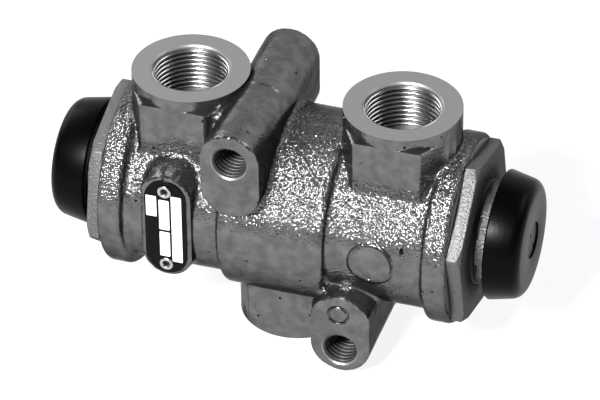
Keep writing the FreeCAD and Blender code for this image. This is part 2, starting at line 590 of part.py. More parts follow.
for side, rotation in SIDES:
    # Piston: a head that holds the disc, a stem and a guide with its ring's groove
    GROOVE_START = f"{GUIDE_MIDDLE} - cord_radius - groove_side"
    GROOVE_END = f"{GUIDE_MIDDLE} + cord_radius + groove_side"
    DRILL_END = f"{DISC_FACE} + screw_length"
    turned_piece(f"{side}_piston", rotation, [
        (DISC_BACK, "screw_radius + screw_clearance"),
        (DISC_BACK, "disc_radius + disc_fit"),
        (f"{DISC_BACK} - disc_cup", "disc_radius + disc_fit"),
        (f"{DISC_BACK} - disc_cup", "head_radius"),
        (HEAD_BACK, "head_radius"),
        (f"{HEAD_BACK} + head_cone", "stem_radius"),
        (GUIDE_START, "stem_radius"),
        (GUIDE_START, "piston_radius"),
        (GROOVE_START, "piston_radius"),
        (GROOVE_START, GROOVE_FLOOR),
        (GROOVE_END, GROOVE_FLOOR),
        (GROOVE_END, "piston_radius"),
        (GUIDE_END, "piston_radius"),
        (GUIDE_END, f"{COIL_OUTSIDE} + coil_clearance"),
        (POCKET_FLOOR, f"{COIL_OUTSIDE} + coil_clearance"),
        (POCKET_FLOOR, "0"),
        (DRILL_END, "0"),
        (DRILL_END, "screw_radius + screw_clearance"),
    ])

    # Sealing ring of the piston, and the rubber disc that closes the seat
    ring = new_body(f"{side}_piston_ring", rotation)
    ring_section = new_sketch(ring, f"{side}_ring_section", "XY_Plane")
    draw_circle(ring_section, GUIDE_MIDDLE, "piston_radius - cord_radius", "cord_radius")
    ring_turning = add_feature(ring, "Revolution", f"{side}_ring_turning", ring_section, Angle=360)
    ring_turning.ReferenceAxis = (ring_section, ["H_Axis"])
    turned_piece(f"{side}_valve_disc", rotation, [
        (DISC_FACE, "screw_radius + screw_clearance"),
        (DISC_BACK, "screw_radius + screw_clearance"),
        (DISC_BACK, "disc_radius"),
        (DISC_FACE, "disc_radius"),
    ])
    turned_piece(f"{side}_disc_washer", rotation, [
        (f"{DISC_FACE} - washer_thickness", "screw_radius + screw_clearance"),
        (DISC_FACE, "screw_radius + screw_clearance"),
        (DISC_FACE, "washer_radius"),
        (f"{DISC_FACE} - washer_thickness", "washer_radius"),
    ])
    HEAD_FACE = f"{DISC_FACE} - washer_thickness"
    turned_piece(f"{side}_disc_screw", rotation, [
        (f"{HEAD_FACE} - screw_head_height", "0"),
        (f"{HEAD_FACE} - screw_head_height", "screw_head_radius"),
        (HEAD_FACE, "screw_head_radius"),
        (HEAD_FACE, "screw_radius"),
        (f"{HEAD_FACE} + screw_length", "screw_radius"),
        (f"{HEAD_FACE} + screw_length", "0"),
    ])

    # Spring seat: a disc in the adjusting screw with a spigot that centres the spring
    SPIGOT = "coil_radius - wire_radius - coil_clearance"
    turned_piece(f"{side}_spring_seat", rotation, [
        (SEAT_OUTSIDE, "0"),
        (SEAT_OUTSIDE, f"{COIL_OUTSIDE} + coil_clearance"),
        (SEAT_INSIDE, f"{COIL_OUTSIDE} + coil_clearance"),
        (SEAT_INSIDE, SPIGOT),
        (f"{SEAT_INSIDE} - spigot_length", SPIGOT),
        (f"{SEAT_INSIDE} - spigot_length", "0"),
    ])

    # Adjusting screw: a threaded sleeve with a hexagon and a vented end
    screw_rotation = rotation * Rotation(Vector(1, 0, 0), size("screw_turn"))
    screw = new_body(f"{side}_adjusting_screw", screw_rotation)
    hexagon = new_sketch(screw, f"{side}_hexagon_outline", "YZ_Plane", lift=HEXAGON_START)
    draw_hexagon(hexagon, "hexagon_flats")
    add_feature(screw, "Pad", f"{side}_hexagon", hexagon, Length="hexagon_length")
    CORNER = "hexagon_flats / sqrt(3)"
    revolve(screw, f"{side}_hexagon_chamfer", [
        (HEXAGON_END, f"{CORNER} - 2 * hexagon_chamfer"),
        (HEXAGON_END, f"{CORNER} + hexagon_chamfer"),
        (f"{HEXAGON_END} - 3 * hexagon_chamfer / sqrt(3)", f"{CORNER} + hexagon_chamfer"),
    ], cut=True)
    UNDERCUT = f"{HEXAGON_START} - undercut_length"
    revolve(screw, f"{side}_thread", [
        (SCREW_START, "0"),
        (SCREW_START, "thread_radius - thread_mouth"),
        (f"{SCREW_START} + thread_mouth", "thread_radius"),
        (UNDERCUT, "thread_radius"),
        (UNDERCUT, "thread_radius - undercut_depth"),
        (f"{HEXAGON_START} + end_wall", "thread_radius - undercut_depth"),
        (f"{HEXAGON_START} + end_wall", "0"),
    ])
    revolve(screw, f"{side}_screw_bore", [
        (SCREW_START, "0"),
        (SCREW_START, SCREW_BORE),
        (WALL_INSIDE, SCREW_BORE),
        (WALL_INSIDE, "vent_radius"),
        (HEXAGON_END, "vent_radius"),
        (HEXAGON_END, "0"),
    ], cut=True)

    # Lock nut: a flat hexagon with its outer corners chamfered
    nut_rotation = rotation * Rotation(Vector(1, 0, 0), size(f"{side}_nut_turn"))
    nut = new_body(f"{side}_lock_nut", nut_rotation)
    nut_outline = new_sketch(nut, f"{side}_nut_outline", "YZ_Plane", lift="housing_half")
    draw_hexagon(nut_outline, "nut_flats")
    draw_circle(nut_outline, "0", "0", THREAD_BORE)
    add_feature(nut, "Pad", f"{side}_nut_blank", nut_outline, Length="nut_thickness")
    NUT_CORNER = "nut_flats / sqrt(3)"
    revolve(nut, f"{side}_nut_chamfer", [
        (NUT_FACE, f"{NUT_CORNER} - nut_chamfer * sqrt(3)"),
        (NUT_FACE, f"{NUT_CORNER} + nut_chamfer"),
        (f"{NUT_FACE} - nut_chamfer - nut_chamfer / sqrt(3)", f"{NUT_CORNER} + nut_chamfer"),
    ], cut=True)

    # Rubber cap: a moulded cup pushed over the hexagon, with a vented recess
    CAP_BORE = f"{CORNER} + cap_fit"
    CAP_FLOOR = f"{HEXAGON_END} + cap_gap"
    CAP_END = f"{CAP_FLOOR} + cap_wall"
    CAP_LIP = f"{HEXAGON_START} + cap_lip_gap"
    cap_rotation = rotation * Rotation(Vector(1, 0, 0), size("cap_turn"))
    cap = turned_piece(f"{side}_cap", cap_rotation, [
        (CAP_LIP, CAP_BORE),
        (CAP_LIP, "cap_lip_radius"),
        (f"{CAP_END} - cap_crown", "cap_crown_radius"),
        (CAP_END, "cap_face_radius"),
        (CAP_END, "recess_radius"),
        (f"{CAP_END} - recess_depth", "recess_radius"),
        (f"{CAP_END} - recess_depth", "0"),
        (CAP_FLOOR, "0"),
        (CAP_FLOOR, CAP_BORE),
    ])
    vents = new_sketch(cap, f"{side}_cap_vent_centres", "YZ_Plane", lift=CAP_END)
    for up in ("cap_vent_offset", "-cap_vent_offset"):
        draw_circle(vents, "0", up, "cap_vent_radius")
    add_feature(cap, "Pocket", f"{side}_cap_vents", vents, Length="cap_wall")


def spring_shape(length):
    """A helical spring with closed ends ground flat, standing on the XY plane."""
    closed = size("closed_pitch")
    turns = size("active_turns")
    rise = (length - 2 * closed) / turns
    radius = size("coil_radius")
    edges = []
    start = 0.0
    turn = 0.0
    for pitch, count in ((closed, 1.0), (rise, turns), (closed, 1.0)):
        helix = Part.makeHelix(pitch, pitch * count, radius)
        helix.rotate(Vector(0, 0, 0), Vector(0, 0, 1), turn)
        helix.translate(Vector(0, 0, start))
        edges += helix.Edges
        start += pitch * count
        turn += 360 * count
    path = Part.Wire(edges)
    tangent = path.Edges[0].tangentAt(path.Edges[0].FirstParameter)
    section = Part.Wire(Part.makeCircle(size("wire_radius"), Vector(radius, 0, 0), tangent))
    coil = path.makePipeShell([section], True, True)
    room = Part.makeCylinder(radius + 2 * size("wire_radius"), length)
    return coil.common(room)


# Pressure springs, each between its piston's pocket and its spring seat
doc.recompute()
pocket_floor = size(POCKET_FLOOR)
spring_room = size(SEAT_INSIDE) - pocket_floor
for side, rotation in SIDES:
    spring = doc.addObject("Part::Feature", f"{side}_spring")
    spring.Label = f"{side}_spring"
    spring.Shape = spring_shape(spring_room)
    along_barrel = Placement(Vector(pocket_floor, 0, 0), Rotation(Vector(0, 1, 0), 90))
    spring.Placement = Placement(Vector(0, 0, size("supply_face")), rotation) * along_barrel
doc.recompute()

SUBPARTS = ["housing", "rating_plate", "plate_rivets"]
for side, _ in SIDES:
    for piece in ("piston", "piston_ring", "valve_disc", "disc_washer", "disc_screw", "spring",
                  "spring_seat", "adjusting_screw", "lock_nut", "cap"):
        SUBPARTS.append(f"{side}_{piece}")

for item in doc.Objects:
    if "Invalid" in item.State or "Error" in item.State:
        raise RuntimeError(f"{item.Name} failed to build")
pieces = [doc.getObject(name) for name in SUBPARTS]
for item in pieces:
    if item.Shape.isNull() or not item.Shape.isValid():
        raise RuntimeError(f"{item.Name} has no valid shape")
os.makedirs("parts", exist_ok=True)
for item in pieces:
    item.Shape.exportStep(os.path.join("parts", f"{item.Label}.step"))
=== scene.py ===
import json
from math import cos, pi, radians, sin, tan

import bmesh
import bpy
import numpy as np
from mathutils import Matrix, Vector, noise


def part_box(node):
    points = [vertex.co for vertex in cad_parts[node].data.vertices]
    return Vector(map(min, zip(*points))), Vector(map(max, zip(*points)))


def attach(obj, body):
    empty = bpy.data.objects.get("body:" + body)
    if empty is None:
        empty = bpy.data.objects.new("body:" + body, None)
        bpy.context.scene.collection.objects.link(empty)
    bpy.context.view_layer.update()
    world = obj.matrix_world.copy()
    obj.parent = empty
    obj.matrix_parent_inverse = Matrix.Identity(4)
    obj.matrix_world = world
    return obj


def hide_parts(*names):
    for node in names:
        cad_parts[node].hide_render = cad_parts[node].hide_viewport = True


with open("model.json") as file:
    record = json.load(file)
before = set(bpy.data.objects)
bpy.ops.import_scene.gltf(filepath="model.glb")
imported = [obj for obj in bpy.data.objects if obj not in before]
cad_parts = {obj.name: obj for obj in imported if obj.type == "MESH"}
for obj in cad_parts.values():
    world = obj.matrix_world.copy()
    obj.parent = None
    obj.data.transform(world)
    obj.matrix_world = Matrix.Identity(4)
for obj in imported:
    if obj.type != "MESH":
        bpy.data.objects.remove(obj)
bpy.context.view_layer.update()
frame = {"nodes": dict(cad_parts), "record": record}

# Viewpoint. The valve stands on its supply port and is looked down on from the front and
# a little from the right, through a long lens, so its upright edges hardly converge.
MM = 0.001
mounts = {mount["name"]: mount for mount in frame["record"]["mounts"]}


def mount_place(name):
    """The middle of a mount's wall, its direction out and its radius, in millimetres."""
    mount = mounts[name]
    return Vector(mount["pos_m"]) / MM, Vector(mount["axis"]), mount["dims"]["r_mm"]


SUPPLY_TO_BARREL = 30.0
BARREL_HEIGHT = mount_place("supply_port")[0].z + SUPPLY_TO_BARREL
LOOK_TURN, LOOK_DOWN, LOOK_ROLL = radians(18.39), radians(36.502), radians(-0.7)
LOOK_DISTANCE, LOOK_FAR = 1.1912, 50.0
SENSOR, LENS, SHIFT_ACROSS, SHIFT_UP = 36.0, 252.15, 0.0039, -0.0059
camera_data = bpy.data.cameras.new("camera")
camera_data.sensor_width = SENSOR
camera_data.lens = LENS
camera_data.shift_x = SHIFT_ACROSS
camera_data.shift_y = SHIFT_UP
camera_data.clip_end = LOOK_FAR
camera = bpy.data.objects.new("camera", camera_data)
bpy.context.scene.collection.objects.link(camera)
back = Vector((sin(LOOK_TURN) * cos(LOOK_DOWN), -cos(LOOK_TURN) * cos(LOOK_DOWN), sin(LOOK_DOWN)))
camera.rotation_mode = "QUATERNION"
camera.location = Vector((0, 0, BARREL_HEIGHT * MM)) + back * LOOK_DISTANCE
facing = (-back).to_track_quat("-Z", "Y").to_matrix() @ Matrix.Rotation(LOOK_ROLL, 3, "Z")
camera.rotation_quaternion = facing.to_quaternion()
bpy.context.scene.camera = camera
bpy.context.scene.view_settings.view_transform = "Standard"


# Studio. A white paper sweep under and behind the valve. A small lamp high at the front
# gives the cast skin its sparkle, and two wide lamps and an even dim room do the rest.
def colour(code):
    """Linear RGBA from an sRGB hex code."""
    parts = [int(code[i:i + 2], 16) / 255 for i in (1, 3, 5)]
    return [c / 12.92 if c <= 0.04045 else ((c + 0.055) / 1.055) ** 2.4 for c in parts] + [1.0]


def add(tree, kind, inputs=None, **settings):
    """Add a node with its settings. An input takes a value, a socket or a node's first output."""
    node = tree.nodes.new(kind)
    for name, value in settings.items():
        setattr(node, name, value)
    for key, value in (inputs or {}).items():
        if isinstance(value, bpy.types.Node):
            value = value.outputs[0]
        if isinstance(value, bpy.types.NodeSocket):
            tree.links.new(value, node.inputs[key])
        else:
            node.inputs[key].default_value = value
    return node


def finish_of(name, base, metallic, roughness, grain=None, others=None):
    """A named material. Its grain is the size and the depth of its unevenness, in millimetres."""
    material = bpy.data.materials.new(name)
    material.use_nodes = True
    tree = material.node_tree
    shader = tree.nodes["Principled BSDF"]
    values = {"Base Color": colour(base), "Metallic": metallic, "Roughness": roughness, **(others or {})}
    for key, value in values.items():
        shader.inputs[key].default_value = value
    if grain:
        # The real unevenness is a few hundredths of a millimetre wide, too fine to show, so
        # the size given is coarser. It is one over how many lumps lie in a millimetre.
        size, depth = grain
        place = add(tree, "ShaderNodeTexCoord").outputs["Object"]
        uneven = add(tree, "ShaderNodeTexNoise", {"Vector": place, "Scale": 1 / (size * MM), "Detail": 2.0})
        bump = add(tree, "ShaderNodeBump", {"Height": uneven, "Strength": 1.0, "Distance": depth * MM})
        tree.links.new(bump.outputs["Normal"], shader.inputs["Normal"])
    return material


SWEEP_DEPTH, SWEEP_WIDTH, SWEEP_RISE, SWEEP_TOP, SWEEP_STEPS = 1.6, 3.0, 0.6, 2.4, 12
sweep_line = [(-SWEEP_DEPTH, 0.0)]
for step in range(SWEEP_STEPS + 1):
    turn = step / SWEEP_STEPS * pi / 2
    sweep_line.append((SWEEP_DEPTH + SWEEP_RISE * sin(turn), SWEEP_RISE * (1 - cos(turn))))
sweep_line.append((SWEEP_DEPTH + SWEEP_RISE, SWEEP_TOP))
sweep_points = [(side * SWEEP_WIDTH, y, z) for y, z in sweep_line for side in (-1, 1)]
sweep_quads = [(2 * i, 2 * i + 1, 2 * i + 3, 2 * i + 2) for i in range(len(sweep_line) - 1)]
sweep_mesh = bpy.data.meshes.new("paper_sweep")
sweep_mesh.from_pydata(sweep_points, [], sweep_quads)
sweep_mesh.shade_smooth()
sweep = bpy.data.objects.new("paper_sweep", sweep_mesh)
bpy.context.scene.collection.objects.link(sweep)

# Matt paper: it looks plain white with a faint shadow, to the eye and in bright metal, and
# throws back less light than it shows, so the undersides of the valve stay dark.
PAPER_GLOW = 0.88
paper = finish_of("matt white paper", "#F6F6F5", 0.0, 0.9, (1 / 0.9, 0.02),
                  {"Emission Color": colour("#FFFFFF")})
paper_tree = paper.node_tree
paper_shader = paper_tree.nodes["Principled BSDF"]
rays = add(paper_tree, "ShaderNodeLightPath")
watched = add(paper_tree, "ShaderNodeMath",
              {0: rays.outputs["Is Camera Ray"], 1: rays.outputs["Is Glossy Ray"]}, operation="MAXIMUM")
watched = add(paper_tree, "ShaderNodeMath",
              {0: watched, 1: rays.outputs["Is Transmission Ray"]}, operation="MAXIMUM")
shade = add(paper_tree, "ShaderNodeValToRGB", {"Fac": watched})
shade.color_ramp.elements[0].color = colour("#404040")
shade.color_ramp.elements[1].color = colour("#626262")
paper_tree.links.new(shade.outputs["Color"], paper_shader.inputs["Base Color"])
glow = add(paper_tree, "ShaderNodeMath", {0: watched, 1: PAPER_GLOW}, operation="MULTIPLY")
paper_tree.links.new(glow.outputs[0], paper_shader.inputs["Emission Strength"])
sweep_mesh.materials.append(paper)

world = bpy.data.worlds.new("room")
world.use_nodes = True
room_tree = world.node_tree
outward = add(room_tree, "ShaderNodeTexCoord")
upward = add(room_tree, "ShaderNodeSeparateXYZ", {"Vector": outward.outputs["Generated"]})
room = add(room_tree, "ShaderNodeValToRGB", {"Fac": upward.outputs["Z"]})
room.color_ramp.elements[0].color = colour("#747474")
room.color_ramp.elements[1].color = colour("#545454")
room_tree.links.new(room.outputs["Color"], room_tree.nodes["Background"].inputs["Color"])
bpy.context.scene.world = world


def lamp(name, turn, lift, distance, width, power):
    """A square lamp aimed at the barrel: turn and lift in degrees, metres away and wide, watts."""
    turn, lift = radians(turn), radians(lift)
    way = Vector((sin(turn) * cos(lift), -cos(turn) * cos(lift), sin(lift)))
    data = bpy.data.lights.new(name, "AREA")
    data.shape = "SQUARE"
    data.size = width
    data.energy = power
    light = bpy.data.objects.new(name, data)
    light.location = way * distance + Vector((0, 0, BARREL_HEIGHT * MM))
    light.rotation_mode = "QUATERNION"
    light.rotation_quaternion = (-way).to_track_quat("-Z", "Y")
    bpy.context.scene.collection.objects.link(light)


lamp("front_lamp", -12, 41, 1.4, 0.26, 60.0)
lamp("back_lamp", 122, 45, 1.8, 0.9, 9.0)
lamp("side_lamp", 238, 28, 2.0, 1.2, 16.0)

# Housing casting. One sand casting in aluminium: a barrel with a ring and two collars, a
# hexagonal block under each port, two mounting bosses that run from front to back, and a
# pad for the plate. All its edges are rounded, and soft fillets fill its corners.
housing_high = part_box("housing")[1]
HALF = housing_high.x / MM
BOSS_FACE = housing_high.y / MM
PORT_FACE = housing_high.z / MM - BARREL_HEIGHT
BARREL, BARREL_EDGE = 24.4, 0.5
RING, RING_HALF, RING_ROUND = 27.0, 15.6, 1.3
COLLAR, COLLAR_WIDTH, COLLAR_ROUND = 27.3, 7.0, 1.5
PORT_RIM = 16.75
BLOCK_FLAT, BLOCK_EDGE, BLOCK_TOP_EDGE, BLOCK_FILLET = 16.72, 0.5, 0.3, 0.8
DELIVERY_RIM, SUPPLY_RIM = 3.5, 4.7
BOSS_EDGE, BOSS_FILLET = 0.55, 1.5
STOCK = 1.5
delivery = [mount_place("delivery_port_left")[0].x, mount_place("delivery_port_right")[0].x]
PORTS = [(delivery[0], 1, DELIVERY_RIM), (delivery[1], 1, DELIVERY_RIM), (0.0, -1, SUPPLY_RIM)]
BOSSES = [(-10.6, 19.0, 28.8, 8.6), (21.2, -27.9, -19.7, 8.7)]
PAD_X, PAD_Z, PAD_FACE, PAD_EDGE, PAD_FILLET = -30.3, 1.3, 26.0, 0.35, 1.0
PAD_RADIUS, PAD_STRAIGHT, PAD_DRAFT = 7.2, 9.65, tan(radians(9))


def fused(first, second, fillet):
    """Union of two solids with a round fillet in the corner between them."""
    corner = np.hypot(np.maximum(fillet - first, 0), np.maximum(fillet - second, 0))
    return np.maximum(fillet, np.minimum(first, second)) - corner


def trimmed(first, second, edge):
    """What two solids share, with its new edge rounded."""
    corner = np.hypot(np.maximum(edge + first, 0), np.maximum(edge + second, 0))
    return np.minimum(-edge, np.maximum(first, second)) + corner


def casting(x, y, z):
    """Distance to the rough casting, in millimetres from the middle of the barrel."""
    across = np.hypot(y, z)
    metal = trimmed(across - BARREL, np.abs(x) - HALF - STOCK, BARREL_EDGE)
    ring = trimmed(across - RING, np.abs(x) - RING_HALF, RING_ROUND)
    metal = fused(metal, ring, RING_ROUND)
    along = np.abs(np.abs(x) - HALF + COLLAR_WIDTH / 2) - COLLAR_WIDTH / 2
    metal = fused(metal, trimmed(across - COLLAR, along, COLLAR_ROUND), COLLAR_ROUND)
    for centre, way, rim in PORTS:
        side = x - centre
        flats = np.abs(y) - BLOCK_FLAT
        for slope in (-1, 1):
            slant = np.abs(side * cos(radians(30)) + slope * y * sin(radians(30))) - BLOCK_FLAT
            flats = trimmed(flats, slant, BLOCK_EDGE)
        block = np.maximum(flats, np.abs(side) - BLOCK_FLAT * cos(radians(30)))
        block = np.minimum(block, np.hypot(side, y) - BLOCK_FLAT)
        block = trimmed(block, z * way - PORT_FACE + rim, BLOCK_TOP_EDGE)
        metal = fused(metal, np.maximum(block, -z * way), BLOCK_FILLET)
    for centre, low, high, radius in BOSSES:
        boss = np.hypot(x - centre, z - np.clip(z, low, high)) - radius
        metal = fused(metal, trimmed(boss, np.abs(y) - BOSS_FACE, BOSS_EDGE), BOSS_FILLET)
    reach = np.hypot(x - PAD_X, z - PAD_Z - np.clip(z - PAD_Z, -PAD_STRAIGHT, PAD_STRAIGHT))
    pad = reach - PAD_RADIUS - np.maximum(y + PAD_FACE, 0) * PAD_DRAFT
    pad = trimmed(pad, -y - PAD_FACE, PAD_EDGE)
    return fused(metal, np.maximum(pad, y), PAD_FILLET)


MARK_X, MARK_RADIUS, MARK_HEIGHT, MARK_WIDTH = 29.1, 6.3, 0.2, 0.7
BOSS_MARK_Z, BOSS_MARK_RADIUS, BOSS_MARK_DEPTH, BOSS_MARK_WIDTH = -17.1, 2.8, 0.25, 0.4
NICK_X, NICK_Z, NICK_SLIM, NICK_DEPTH, NICK_WIDTH = 37.8, 5.6, 2.4, 0.5, 0.55
PARTING_HEIGHT, PARTING_WIDTH, FACE_BAND = 0.16, 0.35, 2.0


def marked(x, y, z):
    """The casting with its round casting marks, the dent beside one and the parting line."""
    metal = casting(x, y, z)
    front = y < 0
    ring = np.hypot(x - MARK_X, z) - MARK_RADIUS
    metal = metal - MARK_HEIGHT * front * np.exp(-(ring / MARK_WIDTH) ** 2)
    boss_ring = np.hypot(x - BOSSES[1][0], z - BOSS_MARK_Z) - BOSS_MARK_RADIUS
    on_face = y < FACE_BAND - BOSS_FACE
    metal = metal + BOSS_MARK_DEPTH * on_face * np.exp(-(boss_ring / BOSS_MARK_WIDTH) ** 2)
    dent = np.hypot(x - NICK_X, (z - NICK_Z) / NICK_SLIM)
    metal = metal + NICK_DEPTH * front * np.exp(-(dent / NICK_WIDTH) ** 2)
    return metal - PARTING_HEIGHT * np.exp(-(y / PARTING_WIDTH) ** 2)


def skin_of(field, low, high, step):
    """Points and quads on the zero of a field: one point in each cell that it crosses."""
    ticks = [np.arange(first, last, step) for first, last in zip(low, high)]
    values = field(*np.meshgrid(*ticks, indexing="ij"))
    total, count, quads = np.zeros((values.size, 3)), np.zeros(values.size), []
    for axis in range(3):
        along, side, other = np.roll(np.eye(3, dtype=int), -axis, axis=0)
        ahead = np.roll(values, -1, axis)
        crossing = np.argwhere((values < 0) != (ahead < 0))
        start, end = values[tuple(crossing.T)], ahead[tuple(crossing.T)]
        place = crossing + along * (start / (start - end))[:, None]
        around = [crossing, crossing - side, crossing - side - other, crossing - other]
        cells = np.stack([np.ravel_multi_index(tuple(c.T), values.shape) for c in around], axis=1)
        for column in cells.T:
            np.add.at(total, column, place)
            np.add.at(count, column, 1)
        quads.append(np.where((start < 0)[:, None], cells, cells[:, ::-1]))
    used, numbers = np.unique(np.concatenate(quads), return_inverse=True)
    points = np.array(low) + step * total[used] / count[used][:, None]
    return points, numbers.reshape(-1, 4)


def slope_of(field, points, reach=0.05):
    """The direction in which the field grows at each point."""
    slope = np.empty_like(points)
    for axis, shift in enumerate(np.eye(3) * reach):
        slope[:, axis] = field(*(points + shift).T) - field(*(points - shift).T)
    return slope / (2 * reach)


CELL, SETTLING_STEPS, LEAST_SLOPE = 0.66, 3, 0.2
margin = 2 * CELL
low = (-HALF - STOCK - margin, -BOSS_FACE - margin, -PORT_FACE)
high = (HALF + STOCK + margin, BOSS_FACE + margin, PORT_FACE + margin)
points, quads = skin_of(marked, low, high, CELL)
for _ in range(SETTLING_STEPS):
    slope = slope_of(marked, points)
    points -= slope * (marked(*points.T) / np.maximum((slope ** 2).sum(axis=1), LEAST_SLOPE))[:, None]

# The soft unevenness of a sand mould, which the flat faces of the bosses and pad lack.
LUMP_HEIGHT, LUMP_SIZE, FLAT_BAND = 0.05, 4.0, 0.06
slope = slope_of(marked, points)
slope /= np.linalg.norm(slope, axis=1)[:, None]
lump = np.array([LUMP_HEIGHT * noise.noise(Vector(p) / LUMP_SIZE) for p in points])
flat = (np.abs(points[:, 1]) > BOSS_FACE - FLAT_BAND) | (points[:, 1] < FLAT_BAND - PAD_FACE)
lump[flat] = 0.0
points += slope * lump[:, None]
points[:, 1] = np.clip(points[:, 1], -BOSS_FACE, BOSS_FACE)
cast_mesh = bpy.data.meshes.new("housing_skin")
cast_mesh.from_pydata((points + (0, 0, BARREL_HEIGHT)) * MM, [], quads.tolist())
cast_mesh.shade_smooth()

# Machined faces. The ends, port faces, rims, bores and tapped holes are turned, drilled
# and tapped after casting, and cut through its skin into bright metal.
TURNED_STEPS = 128


def turned_mesh(name, outline, about, finish, steps=TURNED_STEPS):
    """A closed mesh turned about the Z axis of a matrix from (along, radius) places in mm."""
    points, rows = [], []
    for along, radius in outline:
        if radius == 0:
            rows.append([len(points)] * steps)
            points.append((0, 0, along))
            continue
        rows.append([len(points) + step for step in range(steps)])
        turns = [2 * pi * step / steps for step in range(steps)]
        points += [(radius * cos(turn), radius * sin(turn), along) for turn in turns]
    pairs = list(zip(rows, rows[1:]))
    if outline[0][1] > 0:
        pairs.append((rows[-1], rows[0]))
    faces = []
    for first, second in pairs:
        for step in range(steps):
            ahead = (step + 1) % steps
            corners = [first[step], first[ahead], second[ahead], second[step]]
            faces.append(tuple(dict.fromkeys(corners)))
    mesh = bpy.data.meshes.new(name)
    mesh.from_pydata([tuple((about @ Vector(p)) * MM) for p in points], [], faces)
    mesh.update()
    mesh.shade_smooth()
    mesh.set_sharp_from_angle(angle=radians(30))
    mesh.materials.append(finish)
    return mesh


def laid_on(place, way):
    """A matrix that lays Z on a direction at a place, both in the row frame, in mm."""
    return Matrix.Translation(place) @ Vector(way).to_track_quat("Z", "Y").to_matrix().to_4x4()


# Turned aluminium: brighter and smoother than the cast skin. Its tool marks, a tenth of a
# millimetre apart, are too fine to show and are drawn coarser, to spread the light a little.
machined = finish_of("turned aluminium", "#868686", 0.75, 0.42, (1 / 1.8, 0.02))

# Sand-cast aluminium: a mid grey skin that glitters where a lamp strikes it and is duller
# where it is seen along its face.
cast = finish_of("sand-cast aluminium", "#666666", 0.92, 0.19, others={"Specular Tint": colour("#8A8A8A")})
cast_mesh.materials.append(cast)

barrel_centre = Vector((0, 0, BARREL_HEIGHT))
work = []


def bored(name, outline, place, way, steps=TURNED_STEPS):
    """Have a turned hole cut out of the casting."""
    work.append(("DIFFERENCE", turned_mesh(name, outline, laid_on(place, way), machined, steps)))


SEAT, SEAT_OUT, SEAT_TOP, SEAT_FLOOR = 8.5, 10.0, 9.5, 8.5
PISTON_BORE, THREAD_BORE, THREAD_FROM, THREAD_MOUTH = 14.05, 15.05, 43.2, 0.6
OVERLAP, JUST_OVER, OVER, CLEAR = 0.5, 1.0, 4.0, 40.0
bore = [(-OVERLAP, 0), (-OVERLAP, SEAT), (SEAT_TOP, SEAT), (SEAT_TOP, SEAT_OUT), (SEAT_FLOOR, SEAT_OUT),
        (SEAT_FLOOR, PISTON_BORE), (THREAD_FROM, PISTON_BORE), (THREAD_FROM, THREAD_BORE),
        (HALF - THREAD_MOUTH, THREAD_BORE), (HALF, THREAD_BORE + THREAD_MOUTH), (HALF, CLEAR),
        (HALF + OVER, CLEAR), (HALF + OVER, 0)]
for way in (-1, 1):
    bored("bore", bore, barrel_centre, (way, 0, 0))

RIM_FOOT, PORT_DEPTH, PORT_MOUTH, UPRIGHT = 22.0, 16.0, 0.5, 0.1
PASSAGES = {"delivery_port_left": (6.0, 3.5), "delivery_port_right": (6.0, -3.5), "supply_port": (7.0, 0.0)}
for name, (passage, aside) in PASSAGES.items():
    place, way, radius = mount_place(name)
    base = Vector((place.x, 0, BARREL_HEIGHT))
    rim = [(RIM_FOOT, 0), (RIM_FOOT, PORT_RIM), (PORT_FACE, PORT_RIM), (PORT_FACE, 0)]
    rim_mesh = turned_mesh("rim", rim, laid_on(base, way), machined)
    rim_mesh.materials.append(cast)
    for face in rim_mesh.polygons:
        face.material_index = int(abs(face.normal.z) < UPRIGHT)
    work.append(("UNION", rim_mesh))
    floor = PORT_FACE - PORT_DEPTH
    hole = [(floor, 0), (floor, radius), (PORT_FACE - PORT_MOUTH, radius),
            (PORT_FACE + OVER, radius + PORT_MOUTH + OVER), (PORT_FACE + OVER, 0)]
    bored("port", hole, base, way)
    way_in = [(0, 0), (0, passage), (floor + JUST_OVER, passage), (floor + JUST_OVER, 0)]
    bored("passage", way_in, base + Vector((aside, 0, 0)), way, steps=48)

MOUNT_DEPTH, MOUNT_MOUTH, DRILL_POINT = 16.0, 0.4, radians(59)
MOUNT_HOLES = ["upper_mount_front", "upper_mount_back", "lower_mount_front", "lower_mount_back"]
for name in MOUNT_HOLES:
    place, way, radius = mount_place(name)
    floor = BOSS_FACE - MOUNT_DEPTH
    hole = [(floor - radius / tan(DRILL_POINT), 0), (floor, radius), (BOSS_FACE - MOUNT_MOUTH, radius),
            (BOSS_FACE + OVER, radius + MOUNT_MOUTH + OVER), (BOSS_FACE + OVER, 0)]
    bored("mount", hole, Vector((place.x, 0, place.z)), way, steps=64)

RIVET_SPACING, RIVET_HOLE, RIVET_DEPTH = 25.0, 1.25, 4.05
plate_point = Vector((PAD_X, 0, BARREL_HEIGHT + PAD_Z))
for up in (-RIVET_SPACING / 2, RIVET_SPACING / 2):
    hole = [(PAD_FACE - RIVET_DEPTH, 0), (PAD_FACE - RIVET_DEPTH, RIVET_HOLE),
            (PAD_FACE + JUST_OVER, RIVET_HOLE), (PAD_FACE + JUST_OVER, 0)]
    bored("rivet_hole", hole, plate_point + Vector((0, 0, up)), (0, -1, 0), steps=32)


def worked(name, mesh, work):
    """The mesh after each tool mesh is cut out of it or joined to it in turn."""
    blank = bpy.data.objects.new(name, mesh)
    bpy.context.scene.collection.objects.link(blank)
    tools = []
    for operation, tool_mesh in work:
        tool = bpy.data.objects.new("tool", tool_mesh)
        bpy.context.scene.collection.objects.link(tool)
        tools.append(tool)
        step = blank.modifiers.new("step", "BOOLEAN")
        step.operation = operation
        step.solver = "MANIFOLD"
        step.material_mode = "TRANSFER"
        step.object = tool
    settled = blank.evaluated_get(bpy.context.evaluated_depsgraph_get())
    result = bpy.data.meshes.new_from_object(settled)
    for item in (*tools, blank):
        bpy.data.objects.remove(item)
    result.name = name
    return result


